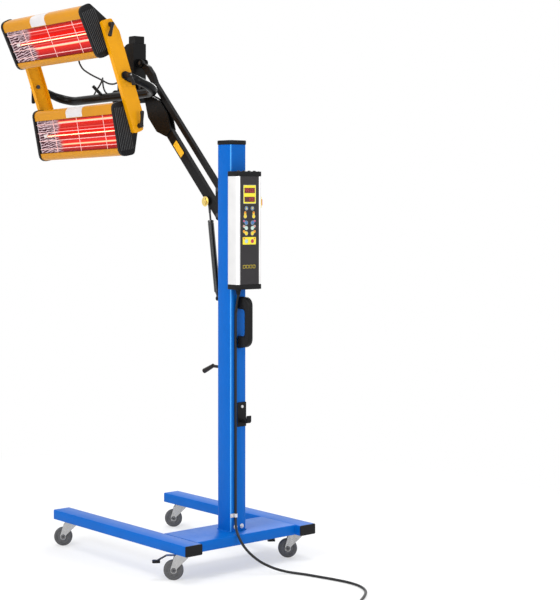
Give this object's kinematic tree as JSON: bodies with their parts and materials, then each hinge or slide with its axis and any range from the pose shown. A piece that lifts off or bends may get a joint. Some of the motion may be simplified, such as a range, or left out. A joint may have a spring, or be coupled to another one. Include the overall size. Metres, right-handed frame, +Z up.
{
  "type": "infrared paint curing lamp",
  "caption": "Infrared paint curing lamp: two short-wave lamp cassettes on a gas-spring parallelogram arm, with a timer box and a four-castered blue steel stand.",
  "frame": {"origin": "middle of the footprint of everything but the free mains cord, on the floor", "axes": "+Z up, the arm reaches toward -X, the lamp openings face -Y"},
  "size_m": [1.9698, 0.775, 2.1896],
  "materials": {
    "blue_frame": "gloss powder coat",
    "black_metal": "satin powder coat",
    "yellow_metal": "satin powder coat",
    "black_plastic": "fine texture",
    "aluminium_housing": "anodised",
    "dark_panel": "membrane foil",
    "display_pane": "glossy",
    "yellow_plastic": "satin",
    "red_plastic": "satin",
    "cable_jacket": "matte",
    "zinc_plate": "zinc plated",
    "bright_steel": "polished",
    "grey_tyre": "matte",
    "reflector_metal": "gold-toned, hammered",
    "quartz": "glowing"
  },
  "bodies": {
    "stand": {"near_leg": "blue_frame", "far_leg": "blue_frame", "cross_beam": "blue_frame", "near_leg_cap": "black_plastic", "far_leg_cap": "black_plastic", "column": "blue_frame", "column_cap": "black_plastic", "arm_bracket": "black_metal", "push_handle": "black_plastic", "cable_hanger": "black_plastic", "box_housing": "aluminium_housing", "box_top_cap": "black_plastic", "box_bottom_cap": "black_plastic", "control_panel": "dark_panel", "display_window": "display_pane", "switch_plate": "yellow_plastic", "riser_cable": "cable_jacket", "cable_clip": "zinc_plate", "cable_gland": "black_plastic", "mains_cord": "cable_jacket", "mains_coil": "cable_jacket", "mains_plug": "black_plastic"},
    "main_arm": {"main_arm": "black_metal"},
    "arm_link": {"arm_link": "black_metal"},
    "head_bracket": {"head_bracket": "black_metal"},
    "gas_cylinder": {"gas_cylinder": "black_metal"},
    "gas_rod": {"gas_rod": "bright_steel"},
    "yoke": {"yoke": "black_metal", "lower_head_lead": "cable_jacket"},
    "head_frame": {"right_side_arm": "yellow_metal", "left_side_arm": "yellow_metal", "upper_head_lead": "cable_jacket"},
    "upper_cassette": {"upper_cassette_shell": "yellow_metal", "upper_cassette_right_cap": "black_plastic", "upper_cassette_left_cap": "black_plastic", "upper_reflector": "reflector_metal", "upper_lamp_tube": "quartz", "upper_wire_guard": "bright_steel"},
    "lower_cassette": {"lower_cassette_shell": "yellow_metal", "lower_cassette_right_cap": "black_plastic", "lower_cassette_left_cap": "black_plastic", "lower_reflector": "reflector_metal", "lower_lamp_tube": "quartz", "lower_wire_guard": "bright_steel"},
    "right_clamp_lever": {"right_clamp_lever": "black_plastic"},
    "left_clamp_lever": {"left_clamp_lever": "black_plastic"},
    "upper_tilt_lever": {"upper_tilt_lever": "black_plastic"},
    "lower_tilt_lever": {"lower_tilt_lever": "black_plastic"},
    "column_lever": {"column_lever": "black_plastic"},
    "switch_knob": {"switch_knob": "red_plastic"},
    "near_front_fork": {"near_front_fork": "zinc_plate"},
    "near_front_wheel": {"near_front_wheel": "grey_tyre"},
    "near_rear_fork": {"near_rear_fork": "zinc_plate"},
    "near_rear_wheel": {"near_rear_wheel": "grey_tyre"},
    "near_rear_brake_pedal": {"near_rear_brake_pedal": "black_plastic"},
    "far_front_fork": {"far_front_fork": "zinc_plate"},
    "far_front_wheel": {"far_front_wheel": "grey_tyre"},
    "far_rear_fork": {"far_rear_fork": "zinc_plate"},
    "far_rear_wheel": {"far_rear_wheel": "grey_tyre"},
    "far_rear_brake_pedal": {"far_rear_brake_pedal": "black_plastic"}
  },
  "joints": [
    {"name": "arm_lift", "type": "hinge", "parent": "stand", "child": "main_arm", "pos_m": [0.39074, 0.05851, 1.356], "axis": [0, 1, 0], "range_deg": [-18, 18]},
    {"name": "link_swing", "type": "hinge", "parent": "stand", "child": "arm_link", "pos_m": [0.39074, 0.05851, 1.456], "axis": [0, 1, 0], "range_deg": [-18, 18]},
    {"name": "head_level", "type": "hinge", "parent": "main_arm", "child": "head_bracket", "pos_m": [-0.10946, 0.05851, 1.88495], "axis": [0, 1, 0], "range_deg": [-18, 18]},
    {"name": "spring_lean", "type": "hinge", "parent": "stand", "child": "gas_cylinder", "pos_m": [0.37324, 0.05851, 1.03], "axis": [0, 1, 0], "range_deg": [-4, 4]},
    {"name": "spring_stroke", "type": "slide", "parent": "gas_cylinder", "child": "gas_rod", "axis": [-0.1432, 0, 0.9897], "range_m": [-0.021, 0.021]},
    {"name": "head_roll", "type": "hinge", "parent": "head_bracket", "child": "yoke", "pos_m": [-0.19676, 0.05851, 1.846], "axis": [0, 1, 0], "range_deg": [-90, 90]},
    {"name": "frame_tilt", "type": "hinge", "parent": "yoke", "child": "head_frame", "pos_m": [-0.21366, -0.19148, 1.90344], "axis": [0.9999, 0, 0.0157], "range_deg": [-20, 20]},
    {"name": "upper_cassette_tilt", "type": "hinge", "parent": "head_frame", "child": "upper_cassette", "pos_m": [-0.21676, -0.26091, 2.10055], "axis": [0.9999, 0, 0.0157], "range_deg": [-20, 20], "deforming": ["upper_head_lead"]},
    {"name": "lower_cassette_tilt", "type": "hinge", "parent": "head_frame", "child": "lower_cassette", "pos_m": [-0.21057, -0.12206, 1.70633], "axis": [0.9999, 0, 0.0157], "range_deg": [-20, 20]},
    {"name": "right_clamp_turn", "type": "hinge", "parent": "head_frame", "child": "right_clamp_lever", "pos_m": [0.1069, -0.19148, 1.90847], "axis": [0.9999, 0, 0.0157], "range_deg": [-60, 10]},
    {"name": "left_clamp_turn", "type": "hinge", "parent": "head_frame", "child": "left_clamp_lever", "pos_m": [-0.53422, -0.19148, 1.8984], "axis": [0.9999, 0, 0.0157], "range_deg": [-60, 10]},
    {"name": "upper_tilt_clamp_turn", "type": "hinge", "parent": "head_frame", "child": "upper_tilt_lever", "pos_m": [0.0955, -0.26091, 2.10545], "axis": [0.9999, 0, 0.0157], "range_deg": [-60, 60]},
    {"name": "lower_tilt_clamp_turn", "type": "hinge", "parent": "head_frame", "child": "lower_tilt_lever", "pos_m": [0.10169, -0.12206, 1.71123], "axis": [0.9999, 0, 0.0157], "range_deg": [-60, 60]},
    {"name": "column_lever_turn", "type": "hinge", "parent": "stand", "child": "column_lever", "pos_m": [0.41594, 0.05851, 0.763], "axis": [1, 0, 0], "range_deg": [-90, 90]},
    {"name": "main_switch_turn", "type": "hinge", "parent": "stand", "child": "switch_knob", "pos_m": [0.53114, 0.12712, 1.4066], "axis": [0, 1, 0], "range_deg": [0, 90]},
    {"name": "near_front_swivel", "type": "hinge", "parent": "stand", "child": "near_front_fork", "pos_m": [-0.21476, -0.23048, 0.1], "axis": [0, 0, 1], "continuous": true},
    {"name": "near_front_roll", "type": "hinge", "parent": "near_front_fork", "child": "near_front_wheel", "pos_m": [-0.23527, -0.25634, 0.0375], "axis": [-0.7834, 0.6216, 0], "continuous": true},
    {"name": "near_rear_swivel", "type": "hinge", "parent": "stand", "child": "near_rear_fork", "pos_m": [0.51024, -0.23048, 0.1], "axis": [0, 0, 1], "continuous": true},
    {"name": "near_rear_roll", "type": "hinge", "parent": "near_rear_fork", "child": "near_rear_wheel", "pos_m": [0.48973, -0.25634, 0.0375], "axis": [-0.7834, 0.6216, 0], "continuous": true},
    {"name": "near_rear_brake", "type": "hinge", "parent": "near_rear_fork", "child": "near_rear_brake_pedal", "pos_m": [0.49781, -0.24615, 0.0902], "axis": [-0.7834, 0.6216, 0], "range_deg": [-10, 0]},
    {"name": "far_front_swivel", "type": "hinge", "parent": "stand", "child": "far_front_fork", "pos_m": [-0.21476, 0.34752, 0.1], "axis": [0, 0, 1], "continuous": true},
    {"name": "far_front_roll", "type": "hinge", "parent": "far_front_fork", "child": "far_front_wheel", "pos_m": [-0.23527, 0.32166, 0.0375], "axis": [-0.7834, 0.6216, 0], "continuous": true},
    {"name": "far_rear_swivel", "type": "hinge", "parent": "stand", "child": "far_rear_fork", "pos_m": [0.51024, 0.34752, 0.1], "axis": [0, 0, 1], "continuous": true},
    {"name": "far_rear_roll", "type": "hinge", "parent": "far_rear_fork", "child": "far_rear_wheel", "pos_m": [0.48973, 0.32166, 0.0375], "axis": [-0.7834, 0.6216, 0], "continuous": true},
    {"name": "far_rear_brake", "type": "hinge", "parent": "far_rear_fork", "child": "far_rear_brake_pedal", "pos_m": [0.49781, 0.33185, 0.0902], "axis": [-0.7834, 0.6216, 0], "range_deg": [-10, 0]}
  ],
  "couplings": [
    {"joint": "link_swing", "follows": "arm_lift", "ratio": 1},
    {"joint": "head_level", "follows": "arm_lift", "ratio": -1},
    {"joint": "spring_lean", "follows": "arm_lift", "ratio": 0.165},
    {"joint": "spring_stroke", "follows": "arm_lift", "m_per_rad": 0.0636}
  ]
}
